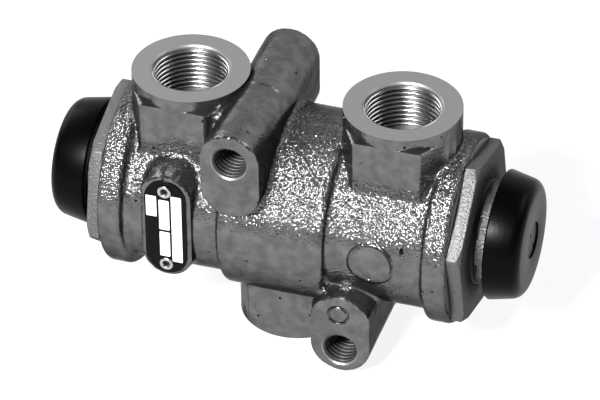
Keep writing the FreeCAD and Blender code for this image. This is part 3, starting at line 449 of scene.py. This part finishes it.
def place_piece(name, mesh, body="housing"):
    """Put a finished mesh in the scene on the body that carries it."""
    piece = bpy.data.objects.new(name, mesh)
    bpy.context.scene.collection.objects.link(piece)
    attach(piece, body)
    return piece


housing_mesh = worked("housing_casting", cast_mesh, work)
housing_mesh.set_sharp_from_angle(angle=radians(38))
housing_piece = place_piece("housing_casting", housing_mesh)
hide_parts("housing")

# The cast skin. Aluminium cast in sand keeps the grain of its mould, so the lit band of the
# barrel glitters. The lower half, the blocks and the bosses are smoother, and all of it is
# a little blotchy, with scattered pits darkened by painted shade and faint casting marks.
cast_tree = cast.node_tree
cast_shader = cast_tree.nodes["Principled BSDF"]
cast_place = add(cast_tree, "ShaderNodeTexCoord").outputs["Object"]
axes = add(cast_tree, "ShaderNodeSeparateXYZ", {"Vector": cast_place})
height = add(cast_tree, "ShaderNodeMath", {0: axes.outputs["Z"], 1: BARREL_HEIGHT * MM},
             operation="SUBTRACT")
flat_place = add(cast_tree, "ShaderNodeCombineXYZ", {"X": axes.outputs["X"], "Y": height})
FRONT_STARTS, FRONT_FULL = 0.0, -2.0
in_front = add(cast_tree, "ShaderNodeMapRange",
               {"Value": axes.outputs["Y"], "From Min": FRONT_STARTS * MM, "From Max": FRONT_FULL * MM})


def ring_mark(x, z, radius, width):
    """The share of a casting mark's ring at a place, seen square from the front."""
    off = add(cast_tree, "ShaderNodeVectorMath", {0: flat_place, 1: (x * MM, z * MM, 0)},
              operation="DISTANCE").outputs["Value"]
    line = add(cast_tree, "ShaderNodeMath", {0: off, 1: radius * MM}, operation="SUBTRACT")
    line = add(cast_tree, "ShaderNodeMath", {0: line}, operation="ABSOLUTE")
    share = add(cast_tree, "ShaderNodeMapRange", {"Value": line, "From Min": width * MM, "From Max": 0.0})
    return add(cast_tree, "ShaderNodeMath", {0: share, 1: in_front}, operation="MULTIPLY")


# The marks again, as finer relief. The boss's ring is deepened a little left of its groove.
GROOVE_ASIDE, GROOVE_WIDTH, NICK_FULL, NICK_GONE = 0.5, 0.5, 0.6, 1.5
raised = ring_mark(MARK_X, 0.0, MARK_RADIUS, MARK_WIDTH)
sunken = ring_mark(BOSSES[1][0] - GROOVE_ASIDE, BOSS_MARK_Z, BOSS_MARK_RADIUS, GROOVE_WIDTH)
slim = add(cast_tree, "ShaderNodeVectorMath", {0: flat_place, 1: (NICK_SLIM, 1.0, 1.0)},
           operation="MULTIPLY")
nick_middle = (NICK_SLIM * NICK_X * MM, NICK_Z * MM, 0)
nick_off = add(cast_tree, "ShaderNodeVectorMath", {0: slim, 1: nick_middle}, operation="DISTANCE")
nick = add(cast_tree, "ShaderNodeMapRange", {"Value": nick_off.outputs["Value"], "From Min": NICK_GONE * MM,
                                             "From Max": NICK_FULL * MM})
nick = add(cast_tree, "ShaderNodeMath", {0: nick, 1: in_front}, operation="MULTIPLY")

# Scattered pits about 0.6 mm across: only some cells of a 3 mm random pattern hold one.
PIT_SPACING, PIT_FULL, PIT_GONE, PIT_LEFT_OUT = 1 / 0.33, 0.06, 0.16, 0.72
pit_cells = add(cast_tree, "ShaderNodeTexVoronoi",
                {"Vector": cast_place, "Scale": 1 / (PIT_SPACING * MM), "Randomness": 1.0})
pit_pick = add(cast_tree, "ShaderNodeSeparateColor", {"Color": pit_cells.outputs["Color"]})
pit_here = add(cast_tree, "ShaderNodeMapRange",
               {"Value": pit_cells.outputs["Distance"], "From Min": PIT_GONE, "From Max": PIT_FULL})
pit_kept = add(cast_tree, "ShaderNodeMath", {0: pit_pick.outputs["Red"], 1: PIT_LEFT_OUT},
               operation="GREATER_THAN")
pits = add(cast_tree, "ShaderNodeMath", {0: pit_here, 1: pit_kept}, operation="MULTIPLY")
pits = add(cast_tree, "ShaderNodeMath", {0: pits, 1: nick}, operation="MAXIMUM")

# The skin's tone: soft blotches of a few millimetres, with painted shade that makes the pits and the nick
# nearly black.
BLOTCH, BLOTCH_START, BLOTCH_END, PIT_SHADE = 1 / 0.3, 0.3, 0.7, 0.85
blotches = add(cast_tree, "ShaderNodeTexNoise",
               {"Vector": cast_place, "Scale": 1 / (BLOTCH * MM), "Detail": 5.0})
tone = add(cast_tree, "ShaderNodeValToRGB", {"Fac": blotches})
tone.color_ramp.elements[0].position = BLOTCH_START
tone.color_ramp.elements[0].color = colour("#5A5A5A")
tone.color_ramp.elements[1].position = BLOTCH_END
tone.color_ramp.elements[1].color = colour("#727272")
# Painted shade: the pits and the nick are darkened towards near black.
painted_pit_shade = add(cast_tree, "ShaderNodeMath", {0: pits, 1: PIT_SHADE}, operation="MULTIPLY")
pit_shaded_tone = add(cast_tree, "ShaderNodeMix", {0: painted_pit_shade, 6: tone, 7: colour("#101010")}, data_type="RGBA")
cast_tree.links.new(pit_shaded_tone.outputs[2], cast_shader.inputs["Base Color"])

# The relief. Moulding sand of a quarter of a millimetre is too fine to show, so its grain
# is drawn at about 0.9 mm. It fades below the lit band and away from the barrel.
SAND, GRIT, GRIT_SHARE, SAND_HEIGHT, MARK_RELIEF = 1 / 1.1, 1 / 1.15, 0.35, 0.6, 0.5
FADE_TOP, FADE_FOOT, LOWER_SHARE = 12.0, 3.0, 0.3
BARREL_SKIN, OUTER_SKIN, OUTER_SHARE = COLLAR + 0.4, COLLAR + 1.4, 0.17
sand = add(cast_tree, "ShaderNodeTexNoise",
           {"Vector": cast_place, "Scale": 1 / (SAND * MM), "Detail": 2.0, "Roughness": 0.6})
grits = add(cast_tree, "ShaderNodeTexVoronoi", {"Vector": cast_place, "Scale": 1 / (GRIT * MM)})
hollows = add(cast_tree, "ShaderNodeMath", {0: grits.outputs["Distance"], 1: GRIT_SHARE},
              operation="MULTIPLY")
grain = add(cast_tree, "ShaderNodeMath", {0: sand.outputs["Fac"], 1: hollows}, operation="SUBTRACT")
height_share = add(cast_tree, "ShaderNodeMapRange",
                   {"Value": height, "From Min": FADE_FOOT * MM, "From Max": FADE_TOP * MM,
                    "To Min": LOWER_SHARE, "To Max": 1.0})
across = add(cast_tree, "ShaderNodeCombineXYZ", {"Y": axes.outputs["Y"], "Z": height})
from_axis = add(cast_tree, "ShaderNodeVectorMath", {0: across}, operation="LENGTH")
skin_share = add(cast_tree, "ShaderNodeMapRange",
                 {"Value": from_axis.outputs["Value"], "From Min": OUTER_SKIN * MM,
                  "From Max": BARREL_SKIN * MM, "To Min": OUTER_SHARE, "To Max": 1.0})
grain_share = add(cast_tree, "ShaderNodeMath", {0: height_share, 1: skin_share}, operation="MULTIPLY")
marks = add(cast_tree, "ShaderNodeMath", {0: raised, 1: sunken}, operation="SUBTRACT")
marks = add(cast_tree, "ShaderNodeMath", {0: marks, 1: pits}, operation="SUBTRACT")
mark_bump = add(cast_tree, "ShaderNodeBump",
                {"Height": marks, "Strength": 1.0, "Distance": MARK_RELIEF * MM})
sand_bump = add(cast_tree, "ShaderNodeBump",
                {"Height": grain, "Strength": grain_share, "Distance": SAND_HEIGHT * MM,
                 "Normal": mark_bump})
cast_tree.links.new(sand_bump.outputs["Normal"], cast_shader.inputs["Normal"])

# Tapped threads. The ridges of the M22x1.5 ports and the M10x1.5 mounting holes are cut
# into the wall of each hole: one helical ridge that rises and dies away in half a turn.
def tree_with(name, sizes):
    """A geometry tree with named inputs for sizes and a material, and the node that gives them."""
    tree = bpy.data.node_groups.new(name, "GeometryNodeTree")
    tree.interface.new_socket("Geometry", in_out="INPUT", socket_type="NodeSocketGeometry")
    tree.interface.new_socket("Geometry", in_out="OUTPUT", socket_type="NodeSocketGeometry")
    for word in sizes:
        tree.interface.new_socket(word, in_out="INPUT", socket_type="NodeSocketFloat")
    tree.interface.new_socket("Material", in_out="INPUT", socket_type="NodeSocketMaterial")
    return tree, tree.nodes.new("NodeGroupInput")


def planted(tree, given, shape):
    """End a tree: stand its shape on every seed along its way, make it real and dress it."""
    way = add(tree, "GeometryNodeInputNamedAttribute", {"Name": "way"}, data_type="FLOAT_VECTOR")
    stand = add(tree, "FunctionNodeAlignRotationToVector", {"Vector": way.outputs["Attribute"]}, axis="Z")
    stood = add(tree, "GeometryNodeInstanceOnPoints",
                {"Points": given.outputs["Geometry"], "Instance": shape, "Rotation": stand})
    real = add(tree, "GeometryNodeRealizeInstances", {"Geometry": stood})
    dressed = add(tree, "GeometryNodeSetMaterial",
                  {"Geometry": real, "Material": given.outputs["Material"]})
    add(tree, "NodeGroupOutput", {"Geometry": dressed})


def grown(name, tree, seeds, ways, material, sizes):
    """The plain mesh that a tree grows on seed points, each with its own direction."""
    seed_mesh = bpy.data.meshes.new(f"{name}_seeds")
    seed_mesh.from_pydata([tuple(p) for p in seeds], [], [])
    way = seed_mesh.attributes.new("way", "FLOAT_VECTOR", "POINT")
    way.data.foreach_set("vector", np.array(ways, float).ravel())
    seed = bpy.data.objects.new(f"{name}_seeds", seed_mesh)
    bpy.context.scene.collection.objects.link(seed)
    modifier = seed.modifiers.new("grow", "NODES")
    modifier.node_group = tree
    values = {**sizes, "Material": material}
    for item in tree.interface.items_tree:
        if item.in_out == "INPUT" and item.name in values:
            modifier[item.identifier] = values[item.name]
    bpy.context.view_layer.update()
    settled = seed.evaluated_get(bpy.context.evaluated_depsgraph_get())
    mesh = bpy.data.meshes.new_from_object(settled)
    bpy.data.objects.remove(seed)
    mesh.name = name
    return mesh


SUNK, ROOT_SHARE, CREST_SHARE = 0.04, 0.45, 0.09
THREAD_STEPS, THREAD_RISE, THREAD_TIP = 72, 2.8, 0.03
thread_tree, given = tree_with("tapped_thread", ("Radius", "Pitch", "Depth", "Length"))
thread_turns = add(thread_tree, "ShaderNodeMath", {0: given.outputs["Length"], 1: given.outputs["Pitch"]},
                   operation="DIVIDE")
helix = add(thread_tree, "GeometryNodeCurveSpiral",
            {"Resolution": THREAD_STEPS, "Rotations": thread_turns,
             "Start Radius": given.outputs["Radius"], "End Radius": given.outputs["Radius"],
             "Height": given.outputs["Length"]})
upright = add(thread_tree, "GeometryNodeSetCurveNormal", {"Curve": helix}, mode="Z_UP")
corners = []
for depth, share in ((-SUNK * MM, ROOT_SHARE), (given.outputs["Depth"], CREST_SHARE)):
    for sign in (-1.0, 1.0):
        aside = add(thread_tree, "ShaderNodeMath", {0: given.outputs["Pitch"], 1: sign * share},
                    operation="MULTIPLY")
        corners.append(add(thread_tree, "ShaderNodeCombineXYZ", {"X": depth, "Y": aside}))
profile = add(thread_tree, "GeometryNodeCurvePrimitiveQuadrilateral",
              {"Point 1": corners[0], "Point 2": corners[2], "Point 3": corners[3], "Point 4": corners[1]},
              mode="POINTS")
share_along = add(thread_tree, "GeometryNodeSplineParameter").outputs["Factor"]
from_start = add(thread_tree, "ShaderNodeMath", {0: share_along, 1: thread_turns}, operation="MULTIPLY")
from_end = add(thread_tree, "ShaderNodeMath", {0: thread_turns, 1: from_start}, operation="SUBTRACT")
from_tip = add(thread_tree, "ShaderNodeMath", {0: from_start, 1: from_end}, operation="MINIMUM")
risen = add(thread_tree, "ShaderNodeMath", {0: from_tip, 1: THREAD_RISE}, operation="MULTIPLY")
risen = add(thread_tree, "ShaderNodeMath", {0: risen, 1: THREAD_TIP}, operation="ADD")
risen = add(thread_tree, "ShaderNodeMath", {0: risen, 1: 1.0}, operation="MINIMUM")
ridge = add(thread_tree, "GeometryNodeCurveToMesh",
            {"Curve": upright, "Profile Curve": profile, "Scale": risen, "Fill Caps": True})
planted(thread_tree, given, ridge)

# Tapped aluminium: the tap burnishes the port threads, so their crests flash. The threads
# of the mounting holes are rougher and painted dark grey, a painted shade that makes the holes look nearly
# black.
PITCH, THREAD_LEAD, PORT_THREAD, MOUNT_THREAD = 1.5, 0.35, 0.52, 0.35
port_metal = finish_of("tapped aluminium", "#B4B4B4", 1.0, 0.22, (1 / 1.5, 0.01))
# Painted shade: the mounting holes' threads are dark grey so that the holes look nearly black.
shaded_mount_metal = finish_of("dull tapped aluminium", "#3E3E3E", 0.8, 0.5, (1 / 1.5, 0.1))
for name, holes, face, depth, share, metal in (
        ("port_threads", PASSAGES, PORT_FACE, PORT_DEPTH, PORT_THREAD, port_metal),
        ("mount_threads", MOUNT_HOLES, BOSS_FACE, MOUNT_DEPTH, MOUNT_THREAD, shaded_mount_metal)):
    seeds, ways = [], []
    for hole_name in holes:
        place, way_out, radius = mount_place(hole_name)
        middle = barrel_centre.dot(way_out)
        seeds.append((place + way_out * (middle + face - THREAD_LEAD - place.dot(way_out))) * MM)
        ways.append(-way_out)
    mesh = grown(name, thread_tree, seeds, ways, metal,
                 {"Radius": radius * MM, "Pitch": PITCH * MM, "Depth": share * PITCH * MM,
                  "Length": (depth - PITCH) * MM})
    mesh.shade_smooth()
    threads = place_piece(name, mesh)

# Rating plate. Black anodised aluminium with its data fields left bare white, held on the
# pad by two hollow rivets. Every field is blank.
plate = frame["nodes"]["rating_plate"]
plate.data.materials.clear()

# Anodising leaves a deep, even black with hardly any shine.
anodised = finish_of("black anodised aluminium", "#030303", 0.0, 0.4, (1 / 1.5, 0.01),
                     {"Specular IOR Level": 0.1})
plate.data.materials.append(anodised)

FIELDS = [(-4.1, 6.75, 3.1, 7.0), (-0.35, 4.2, 3.0, 10.2), (-0.35, -5.9, 3.0, 8.4), (3.3, -0.2, 3.0, 22.6)]
FIELD_PROUD, FIELD_SUNK, FIELD_CORNER, CORNER_CUTS, FIELD_WELD = 0.02, 0.01, 0.25, 4, 0.002
plate_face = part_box("rating_plate")[0].y / MM
field_tree, given = tree_with("plate_field", ("Width", "Height", "Thickness", "Corner"))
outline = add(field_tree, "GeometryNodeCurvePrimitiveQuadrilateral",
              {"Width": given.outputs["Width"], "Height": given.outputs["Height"]}, mode="RECTANGLE")
soft = add(field_tree, "GeometryNodeFilletCurve",
           {"Curve": outline, "Radius": given.outputs["Corner"], "Count": CORNER_CUTS}, mode="POLY")
sheet = add(field_tree, "GeometryNodeFillCurve", {"Curve": soft}, mode="NGONS")
thick = add(field_tree, "GeometryNodeExtrudeMesh",
            {"Mesh": sheet, "Offset Scale": given.outputs["Thickness"]}, mode="FACES")
foot = add(field_tree, "GeometryNodeFlipFaces", {"Mesh": sheet})
whole = add(field_tree, "GeometryNodeJoinGeometry")
for shell in (thick, foot):
    field_tree.links.new(shell.outputs["Mesh"], whole.inputs["Geometry"])
welded = add(field_tree, "GeometryNodeMergeByDistance", {"Geometry": whole, "Distance": FIELD_WELD * MM})
planted(field_tree, given, welded)

# Bare white: the fields are flat, even and a little brighter than anything around them.
print_white = finish_of("bare white field", "#F2F2F2", 0.0, 0.5, (1 / 1.5, 0.01))
field_meshes = []
for across, up, width, height in FIELDS:
    seat = plate_point + Vector((across, plate_face + FIELD_SUNK, up))
    field_meshes.append(grown("field", field_tree, [seat * MM], [(0, -1, 0)], print_white,
                              {"Width": width * MM, "Height": height * MM,
                               "Thickness": (FIELD_PROUD + FIELD_SUNK) * MM, "Corner": FIELD_CORNER * MM}))


def joined(name, meshes):
    """One mesh that holds several."""
    shape = bmesh.new()
    for mesh in meshes:
        shape.from_mesh(mesh)
    whole = bpy.data.meshes.new(name)
    shape.to_mesh(whole)
    shape.free()
    for material in meshes[0].materials:
        whole.materials.append(material)
    return whole


place_piece("plate_fields", joined("plate_fields", field_meshes))

# Plate rivets. Two hollow aluminium rivets: a thin tube whose end is rolled over into a
# ring-shaped head, which holds the plate down.
RIVET_HEAD, RIVET_HEIGHT, RIVET_SHANK, RIVET_HOLLOW, RIVET_LENGTH = 2.0, 0.7, 1.2, 1.02, 4.0
PLATE_THICKNESS, HEAD_ROUND, SHANK_ROUND, RIVET_STEPS, ROUND_STEPS = 0.5, 0.49, 0.1, 48, 6
rivet_tree, given = tree_with("hollow_rivet", ("Head", "Height", "Shank", "Hollow", "Length"))
parts = add(rivet_tree, "GeometryNodeJoinGeometry")
for rim, reach, lift, round_share in (("Head", "Height", 0.5, HEAD_ROUND),
                                      ("Shank", "Length", -0.5, SHANK_ROUND)):
    outer, inner, tall = given.outputs[rim], given.outputs["Hollow"], given.outputs[reach]
    wall = add(rivet_tree, "ShaderNodeMath", {0: outer, 1: inner}, operation="SUBTRACT")
    middle = add(rivet_tree, "ShaderNodeMath", {0: outer, 1: inner}, operation="ADD")
    middle = add(rivet_tree, "ShaderNodeMath", {0: middle, 1: 0.5}, operation="MULTIPLY")
    circle = add(rivet_tree, "GeometryNodeCurvePrimitiveCircle",
                 {"Resolution": RIVET_STEPS, "Radius": middle})
    upright = add(rivet_tree, "GeometryNodeSetCurveNormal", {"Curve": circle}, mode="Z_UP")
    section = add(rivet_tree, "GeometryNodeCurvePrimitiveQuadrilateral", {"Width": wall, "Height": tall})
    corner = add(rivet_tree, "ShaderNodeMath", {0: wall, 1: tall}, operation="MINIMUM")
    corner = add(rivet_tree, "ShaderNodeMath", {0: corner, 1: round_share}, operation="MULTIPLY")
    rolled = add(rivet_tree, "GeometryNodeFilletCurve",
                 {"Curve": section, "Radius": corner, "Count": ROUND_STEPS}, mode="POLY")
    swept = add(rivet_tree, "GeometryNodeCurveToMesh", {"Curve": upright, "Profile Curve": rolled})
    rise = add(rivet_tree, "ShaderNodeMath", {0: tall, 1: lift}, operation="MULTIPLY")
    rise = add(rivet_tree, "ShaderNodeCombineXYZ", {"Z": rise})
    lifted = add(rivet_tree, "GeometryNodeTransform", {"Geometry": swept, "Translation": rise})
    rivet_tree.links.new(lifted.outputs["Geometry"], parts.inputs["Geometry"])
planted(rivet_tree, given, parts)

# Rolling leaves the aluminium bright, with soft reflections.
rivet_metal = finish_of("rolled aluminium", "#B4B4B4", 1.0, 0.3, (1 / 1.8, 0.03))
seeds = [(plate_point + Vector((0, plate_face, side * RIVET_SPACING / 2))) * MM for side in (-1, 1)]
mesh = grown("hollow_rivets", rivet_tree, seeds, [(0, -1, 0)] * 2, rivet_metal,
             {"Head": RIVET_HEAD * MM, "Height": RIVET_HEIGHT * MM, "Shank": RIVET_SHANK * MM,
              "Hollow": RIVET_HOLLOW * MM, "Length": (RIVET_LENGTH + PLATE_THICKNESS) * MM})
mesh.shade_smooth()
mesh.set_sharp_from_angle(angle=radians(40))
rivets = place_piece("hollow_rivets", mesh)
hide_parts("plate_rivets")

# Lock nuts and adjusting screws. Zinc-plated steel hexagons, turned and milled from bar,
# with every edge broken by a narrow bright chamfer. The nuts lock the screws to the barrel.
NUT_CHAMFER, SCREW_CHAMFER, WELD = 0.3, 0.25, 0.001
SAME_PLANE, SHARP_EDGE = radians(0.5), radians(25)


def eased(name, node, width):
    """A welded copy of a CAD node's mesh with its sharp edges broken."""
    shape = bmesh.new()
    shape.from_mesh(frame["nodes"][node].data)
    bmesh.ops.remove_doubles(shape, verts=shape.verts, dist=WELD * MM)
    bmesh.ops.dissolve_limit(shape, angle_limit=SAME_PLANE, verts=shape.verts, edges=shape.edges)
    sharp = [edge for edge in shape.edges
             if len(edge.link_faces) == 2 and edge.calc_face_angle() > SHARP_EDGE]
    bmesh.ops.bevel(shape, geom=sharp, offset=width, segments=2, profile=0.5, affect="EDGES",
                    clamp_overlap=False)
    mesh = bpy.data.meshes.new(name)
    shape.to_mesh(mesh)
    shape.free()
    mesh.shade_smooth()
    mesh.set_sharp_from_angle(angle=radians(30))
    return mesh


# Zinc plate on drawn steel: a dull mid grey with a slightly uneven face, and no bright
# streak along it. The screw's thread, in the gap between nut and hexagon, is painted nearly black as
# painted shade.
zinc = finish_of("zinc-plated steel", "#686868", 0.85, 0.55, (1 / 1.5, 0.3),
                 {"Specular Tint": colour("#787878")})
shaded_thread_steel = finish_of("dark thread steel", "#0E0E0E", 0.3, 0.6, (1 / 1.5, 0.1))
THREAD_SHOWN = 5.7
for side in ("left", "right"):
    for item, body, width in ((f"{side}_lock_nut", "housing", NUT_CHAMFER),
                              (f"{side}_adjusting_screw", f"{side}_adjuster", SCREW_CHAMFER)):
        mesh = eased(f"{item}_eased", item, width * MM)
        mesh.materials.clear()
        mesh.materials.append(zinc)
        mesh.materials.append(shaded_thread_steel)
        # The thread shown between the nut and the hexagon takes the painted shade.
        for face in mesh.polygons:
            threaded = abs(face.center.x) < (HALF + THREAD_SHOWN) * MM
            face.material_index = int(threaded and item.endswith("screw"))
        piece = place_piece(mesh.name, mesh, body)
        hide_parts(item)

# End caps. Black rubber mouldings pushed over the hexagons, with a rounded crown and a
# shallow round recess in the end that holds two small vents.
def arc(centre, radius, start, end, steps):
    """Places along an arc, by its angle in degrees from the barrel's axis."""
    turns = [radians(start + (end - start) * step / steps) for step in range(steps + 1)]
    return [(centre[0] + radius * cos(turn), centre[1] + radius * sin(turn)) for turn in turns]


# Smooth moulded rubber is deep black, with a low sheen that draws the round of the crown.
rubber = finish_of("moulded black rubber", "#020202", 0.0, 0.32, (1 / 1.4, 0.03),
                   {"Specular IOR Level": 0.5, "IOR": 1.14})
cap_low, cap_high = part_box("right_cap")
CAP_LIP, CAP_END, LIP_RADIUS = cap_low.x / MM, cap_high.x / MM, cap_high.y / MM
CAP_BORE, CAP_WALL, CROWN_ROUND, CAP_FACE = 15.65, 2.8, 3.7, 13.6
LIP_EDGE, LIP_ROUND, LEFT_LIP_OVER_SHADE, RECESS_EDGE = 0.4, 0.6, 1.3, 0.25
RECESS, RECESS_DEPTH, VENT, VENT_OUT, VENT_TURN = 5.3, 0.5, 0.65, 4.3, radians(120)
cap_floor = CAP_END - CAP_WALL
vent = [(cap_floor - JUST_OVER, 0), (cap_floor - JUST_OVER, VENT), (CAP_END + JUST_OVER, VENT),
        (CAP_END + JUST_OVER, 0)]
# The left cap's lip reaches further in than the right one's, so its black rubber covers the hexagon as
# painted shade between nut and cap.
for side, way, lip in (("left", -1, CAP_LIP - LEFT_LIP_OVER_SHADE), ("right", 1, CAP_LIP)):
    cap_outline = [(cap_floor, 0), (cap_floor, CAP_BORE), (lip + LIP_EDGE, CAP_BORE),
                   (lip, CAP_BORE + LIP_EDGE)]
    cap_outline += arc((lip + LIP_ROUND, LIP_RADIUS - LIP_ROUND), LIP_ROUND, 180, 90, 4)
    cap_outline += arc((CAP_END - CROWN_ROUND, CAP_FACE), CROWN_ROUND, 80, 0, 10)
    cap_outline += arc((CAP_END - RECESS_EDGE, RECESS + RECESS_EDGE), RECESS_EDGE, 0, -90, 3)
    cap_outline += [(CAP_END - RECESS_DEPTH, RECESS), (CAP_END - RECESS_DEPTH, 0)]
    blank = turned_mesh("cap", cap_outline, laid_on(barrel_centre, (way, 0, 0)), rubber, steps=160)
    vents = []
    for turn in (VENT_TURN, VENT_TURN + pi):
        centre = barrel_centre + Vector((0, way * cos(turn), sin(turn))) * VENT_OUT
        vent_mesh = turned_mesh("vent", vent, laid_on(centre, (way, 0, 0)), rubber, steps=24)
        vents.append(("DIFFERENCE", vent_mesh))
    mesh = worked(f"{side}_end_cap", blank, vents)
    piece = place_piece(mesh.name, mesh, f"{side}_adjuster")
    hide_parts(f"{side}_cap")

# Inner pieces. Brass pistons with rubber rings and discs, steel washers and screws, blued
# springs and their steel seats: none is seen from outside, and each is plain.

# Turned brass is a bright yellow and turned steel a clean grey with soft reflections,
# nitrile rubber is a matt black, and blued steel is dark with a cold shine.
brass = finish_of("machined brass", "#A98B4E", 1.0, 0.3, (1 / 1.2, 0.01))
nitrile = finish_of("nitrile rubber", "#101010", 0.0, 0.5, (1 / 1.4, 0.02))
steel = finish_of("turned steel", "#8A8C8E", 1.0, 0.35, (1 / 1.5, 0.01))
spring_steel = finish_of("blued spring steel", "#3E4148", 1.0, 0.3, (1 / 1.5, 0.01))
INNER = {"piston": brass, "piston_ring": nitrile, "valve_disc": nitrile, "disc_washer": steel,
         "disc_screw": steel, "spring": spring_steel, "spring_seat": steel}
for side in ("left", "right"):
    for item, finish in INNER.items():
        mesh = frame["nodes"][f"{side}_{item}"].data
        mesh.materials.clear()
        mesh.materials.append(finish)
